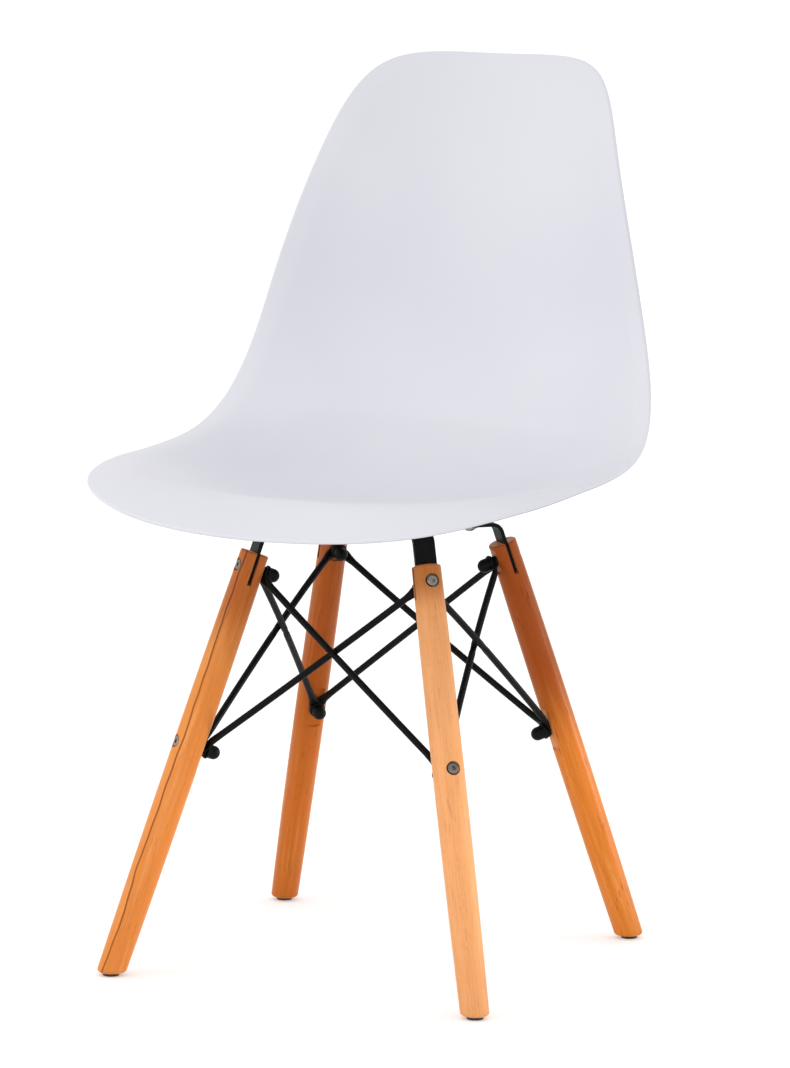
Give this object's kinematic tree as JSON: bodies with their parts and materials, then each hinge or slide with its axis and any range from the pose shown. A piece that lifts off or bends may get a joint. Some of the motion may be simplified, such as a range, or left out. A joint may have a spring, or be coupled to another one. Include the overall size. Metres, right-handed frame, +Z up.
{
  "type": "side chair",
  "caption": "Moulded plastic shell chair on four leaning wooden legs, with crossing steel bars under the seat and an X of steel brace rods on each side.",
  "frame": {"origin": "on the floor, in the middle of the shell's width and depth", "axes": "+Z up, -Y to the front of the seat, +X to the right seen from the front"},
  "size_m": [0.4575, 0.5121, 0.8172],
  "materials": {
    "shell_plastic": "satin",
    "leg_wood": "satin",
    "black_metal": "satin",
    "bolt_steel": "satin",
    "insert_brass": "satin",
    "pad_rubber": "matte",
    "glide_plastic": "matte"
  },
  "bodies": {
    "root": {"seat_shell": "shell_plastic", "shell_inserts": "insert_brass", "upper_bar_pads": "pad_rubber", "lower_bar_pads": "pad_rubber", "seat_screws": "bolt_steel", "seat_screw_washers": "bolt_steel", "frame_bar_upper": "black_metal", "frame_bar_lower": "black_metal", "frame_rivet": "black_metal", "leg_front_left": "leg_wood", "leg_front_right": "leg_wood", "leg_back_right": "leg_wood", "leg_back_left": "leg_wood", "glide_front_left": "glide_plastic", "glide_front_right": "glide_plastic", "glide_back_right": "glide_plastic", "glide_back_left": "glide_plastic", "glide_nails": "bolt_steel", "upper_leg_bolts": "bolt_steel", "lower_leg_bolts": "bolt_steel", "upper_bolt_washers": "bolt_steel", "lower_bolt_washers": "bolt_steel", "upper_dome_nuts": "black_metal", "lower_dome_nuts": "black_metal", "brace_front_outer": "black_metal", "brace_front_inner": "black_metal", "brace_right_outer": "black_metal", "brace_right_inner": "black_metal", "brace_back_outer": "black_metal", "brace_back_inner": "black_metal", "brace_left_outer": "black_metal", "brace_left_inner": "black_metal"}
  },
  "joints": []
}
